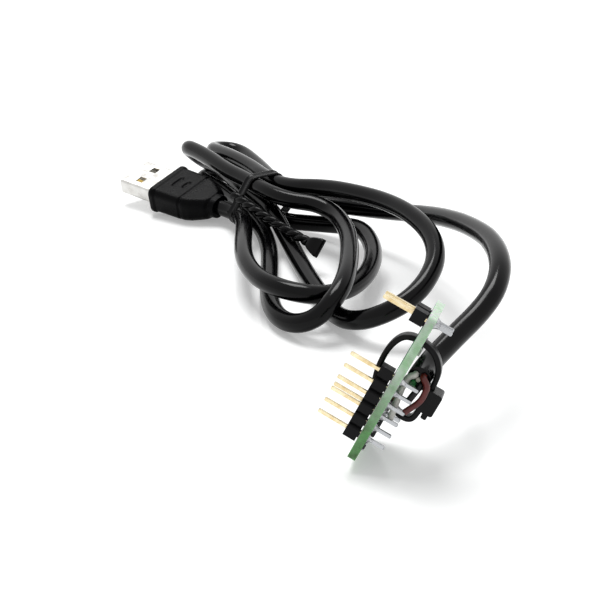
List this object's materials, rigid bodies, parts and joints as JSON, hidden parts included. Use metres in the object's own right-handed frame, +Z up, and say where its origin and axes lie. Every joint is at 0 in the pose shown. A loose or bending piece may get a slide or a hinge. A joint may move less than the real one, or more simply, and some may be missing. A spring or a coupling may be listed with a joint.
{
  "type": "usb microcontroller programmer",
  "caption": "Narrow circuit board with pin headers for programming a microcontroller, its cable strapped across it, tied in a hank and ended in a USB type A plug.",
  "frame": {"origin": "on the ground, below the middle of the bounding box of the circuit board with all that is fixed to it, and without the free cable", "axes": "+Z up; +Y from the board's near long edge towards the hank of cable; +X towards the side that the board leans to, which is its solder side"},
  "size_m": [0.1165, 0.1652, 0.033],
  "materials": {
    "board": "green solder mask over glass fibre",
    "header_black": "moulded",
    "pin_gold": "gold plated",
    "solder": "reflowed tin",
    "chip_black": "moulded",
    "ceramic": "fired",
    "lamp_clear": "clear",
    "nylon_black": "moulded nylon",
    "cable_black": "soft PVC",
    "wire_red": "PVC insulation",
    "wire_black": "PVC insulation",
    "wire_green": "PVC insulation",
    "wire_white": "PVC insulation",
    "filler": "fibre",
    "plug_black": "moulded PVC",
    "shell_steel": "nickel plated",
    "tongue_white": "moulded",
    "tie_black": "coated wire"
  },
  "bodies": {
    "programmer": {"pcb": "board", "solder_pads": "solder", "six_pin_header_body": "header_black", "six_pin_header_pins": "pin_gold", "single_pin_body": "header_black", "single_pin": "pin_gold", "two_pin_header_body": "header_black", "two_pin_header_pins": "pin_gold", "solder_joints": "solder", "microcontroller": "chip_black", "microcontroller_leads": "solder", "crystal": "solder", "resistors": "chip_black", "capacitors": "ceramic", "status_lamp": "lamp_clear", "strap": "nylon_black", "strap_head": "nylon_black", "cable_jacket": "cable_black", "cable_filler": "filler", "usb_overmould": "plug_black", "usb_shell": "shell_steel", "usb_tongue": "tongue_white", "usb_contacts": "pin_gold", "wire_tie": "tie_black", "tie_tails": "tie_black", "tie_tail_tips": "tie_black", "wire_red": "wire_red", "wire_black": "wire_black", "wire_green": "wire_green", "wire_white": "wire_white"}
  },
  "joints": []
}
